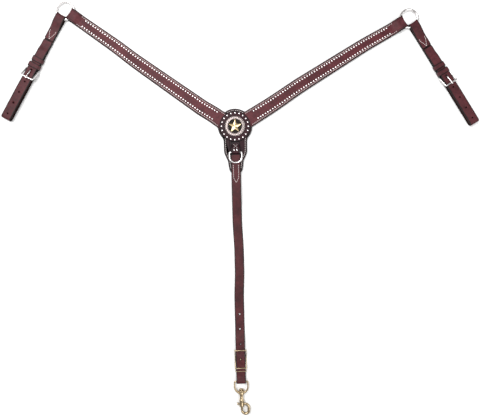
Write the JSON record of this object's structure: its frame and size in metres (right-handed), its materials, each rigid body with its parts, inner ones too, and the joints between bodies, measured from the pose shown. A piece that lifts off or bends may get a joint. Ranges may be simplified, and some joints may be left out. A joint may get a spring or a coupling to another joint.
{
  "type": "horse breastplate",
  "caption": "Western horse breastplate of stitched burgundy leather: shoulder straps with rings and buckled tugs meet at a star rosette above a tie-down strap with a bolt snap.",
  "frame": {"origin": "on the back face of the yoke, under the middle of the concho", "axes": "+X to the right seen from the front, +Y up between the shoulder straps, +Z out of the front"},
  "size_m": [1.2315, 1.0713, 0.0233],
  "materials": {
    "lining_leather": "dark brown lining leather, suede side out",
    "yoke_leather": "dark burgundy bridle leather, waxed",
    "strap_leather": "burgundy latigo leather, burnished black edges",
    "nickel": "polished nickel plate",
    "spots": "small polished nickel domes",
    "concho_silver": "engraved antiqued silver",
    "concho_black": "black antiquing in a stippled ground",
    "concho_gold": "polished gold-toned star",
    "solid_brass": "solid brass, handled",
    "spring_steel": "bright spring wire",
    "thread": "waxed grey-white thread"
  },
  "bodies": {
    "yoke": {"yoke_lining": "lining_leather", "yoke": "yoke_leather", "rosette": "yoke_leather", "rosette_spots": "spots", "concho_plate": "concho_silver", "concho_field": "concho_black", "concho_star": "concho_gold", "concho_screw": "nickel", "d_ring_chape": "yoke_leather", "chape_rivets": "spots", "tie_down_end": "strap_leather"},
    "d_ring": {"d_ring": "nickel"},
    "tie_down": {"tie_down_strap": "strap_leather", "conway_buckle": "solid_brass"},
    "wire_keeper": {"wire_keeper": "solid_brass"},
    "snap_eye": {"snap_eye": "solid_brass"},
    "snap_body": {"snap_body": "solid_brass", "snap_spring": "spring_steel"},
    "snap_bolt": {"snap_bolt": "solid_brass"},
    "left_shoulder": {"left_shoulder_top": "strap_leather", "left_shoulder_lining": "lining_leather", "left_shoulder_spots": "spots"},
    "left_ring": {"left_ring": "nickel"},
    "left_tug": {"left_tug_strap": "strap_leather", "left_buckle_chape": "strap_leather", "left_buckle_frame": "nickel", "left_fixed_keeper": "strap_leather"},
    "left_tongue": {"left_buckle_tongue": "nickel"},
    "left_keeper": {"left_sliding_keeper": "strap_leather"},
    "right_shoulder": {"right_shoulder_top": "strap_leather", "right_shoulder_lining": "lining_leather", "right_shoulder_spots": "spots"},
    "right_ring": {"right_ring": "nickel"},
    "right_tug": {"right_tug_strap": "strap_leather", "right_buckle_chape": "strap_leather", "right_buckle_frame": "nickel", "right_fixed_keeper": "strap_leather"},
    "right_tongue": {"right_buckle_tongue": "nickel"},
    "right_keeper": {"right_sliding_keeper": "strap_leather"}
  },
  "joints": [
    {"name": "d_ring_flap", "type": "hinge", "parent": "yoke", "child": "d_ring", "pos_m": [0.00165, -0.06748, 0.0108], "axis": [-0.9997, -0.0244, 0], "range_deg": [0, 150]},
    {"name": "tie_down_flex", "type": "hinge", "parent": "yoke", "child": "tie_down", "pos_m": [0.00376, -0.15395, 0.0077], "axis": [-0.9997, -0.0244, 0], "range_deg": [-70, 70]},
    {"name": "wire_keeper_slide", "type": "slide", "parent": "tie_down", "child": "wire_keeper", "axis": [0.0244, -0.9997, 0], "range_m": [-0.0035, 0.0075]},
    {"name": "snap_eye_hinge", "type": "hinge", "parent": "tie_down", "child": "snap_eye", "pos_m": [0.01612, -0.6594, 0.008], "axis": [-0.9997, -0.0244, 0], "range_deg": [-80, 80]},
    {"name": "snap_swivel", "type": "hinge", "parent": "snap_eye", "child": "snap_body", "pos_m": [0.0168, -0.68729, 0.008], "axis": [0.0244, -0.9997, 0], "continuous": true},
    {"name": "snap_bolt_slide", "type": "slide", "parent": "snap_body", "child": "snap_bolt", "axis": [-0.0244, 0.9997, 0], "range_m": [0, 0.0075], "stiffness_N_per_m": 300, "springref_m": -0.006, "deforming": ["snap_spring"]},
    {"name": "left_shoulder_flex", "type": "hinge", "parent": "yoke", "child": "left_shoulder", "pos_m": [-0.04096, 0.02068, 0.0031], "axis": [0.5736, 0.8192, 0], "range_deg": [-55, 50]},
    {"name": "left_ring_tilt", "type": "hinge", "parent": "left_shoulder", "child": "left_ring", "pos_m": [-0.42268, 0.28797, 0.0067], "axis": [0.5736, 0.8192, 0], "range_deg": [-12, 12]},
    {"name": "left_tug_swing", "type": "hinge", "parent": "left_ring", "child": "left_tug", "pos_m": [-0.43948, 0.29972, 0.0067], "axis": [0, 0, -1], "range_deg": [0, 75]},
    {"name": "left_tongue_lift", "type": "hinge", "parent": "left_tug", "child": "left_tongue", "pos_m": [-0.52305, 0.14596, 0.0082], "axis": [-0.8829, 0.4695, 0], "range_deg": [0, 8]},
    {"name": "left_keeper_slide", "type": "slide", "parent": "left_tug", "child": "left_keeper", "axis": [-0.4695, -0.8829, 0], "range_m": [-0.038, 0.003]},
    {"name": "right_shoulder_flex", "type": "hinge", "parent": "yoke", "child": "right_shoulder", "pos_m": [0.04236, 0.02357, 0.0031], "axis": [0.5314, -0.8471, 0], "range_deg": [-55, 50]},
    {"name": "right_ring_tilt", "type": "hinge", "parent": "right_shoulder", "child": "right_ring", "pos_m": [0.43246, 0.26828, 0.0067], "axis": [0.5314, -0.8471, 0], "range_deg": [-12, 12]},
    {"name": "right_tug_swing", "type": "hinge", "parent": "right_ring", "child": "right_tug", "pos_m": [0.44982, 0.27917, 0.0067], "axis": [0, 0, 1], "range_deg": [0, 75]},
    {"name": "right_tongue_lift", "type": "hinge", "parent": "right_tug", "child": "right_tongue", "pos_m": [0.54262, 0.1308, 0.0082], "axis": [-0.8526, -0.5225, 0], "range_deg": [0, 8]},
    {"name": "right_keeper_slide", "type": "slide", "parent": "right_tug", "child": "right_keeper", "axis": [0.5225, -0.8526, 0], "range_m": [-0.038, 0.003]}
  ]
}
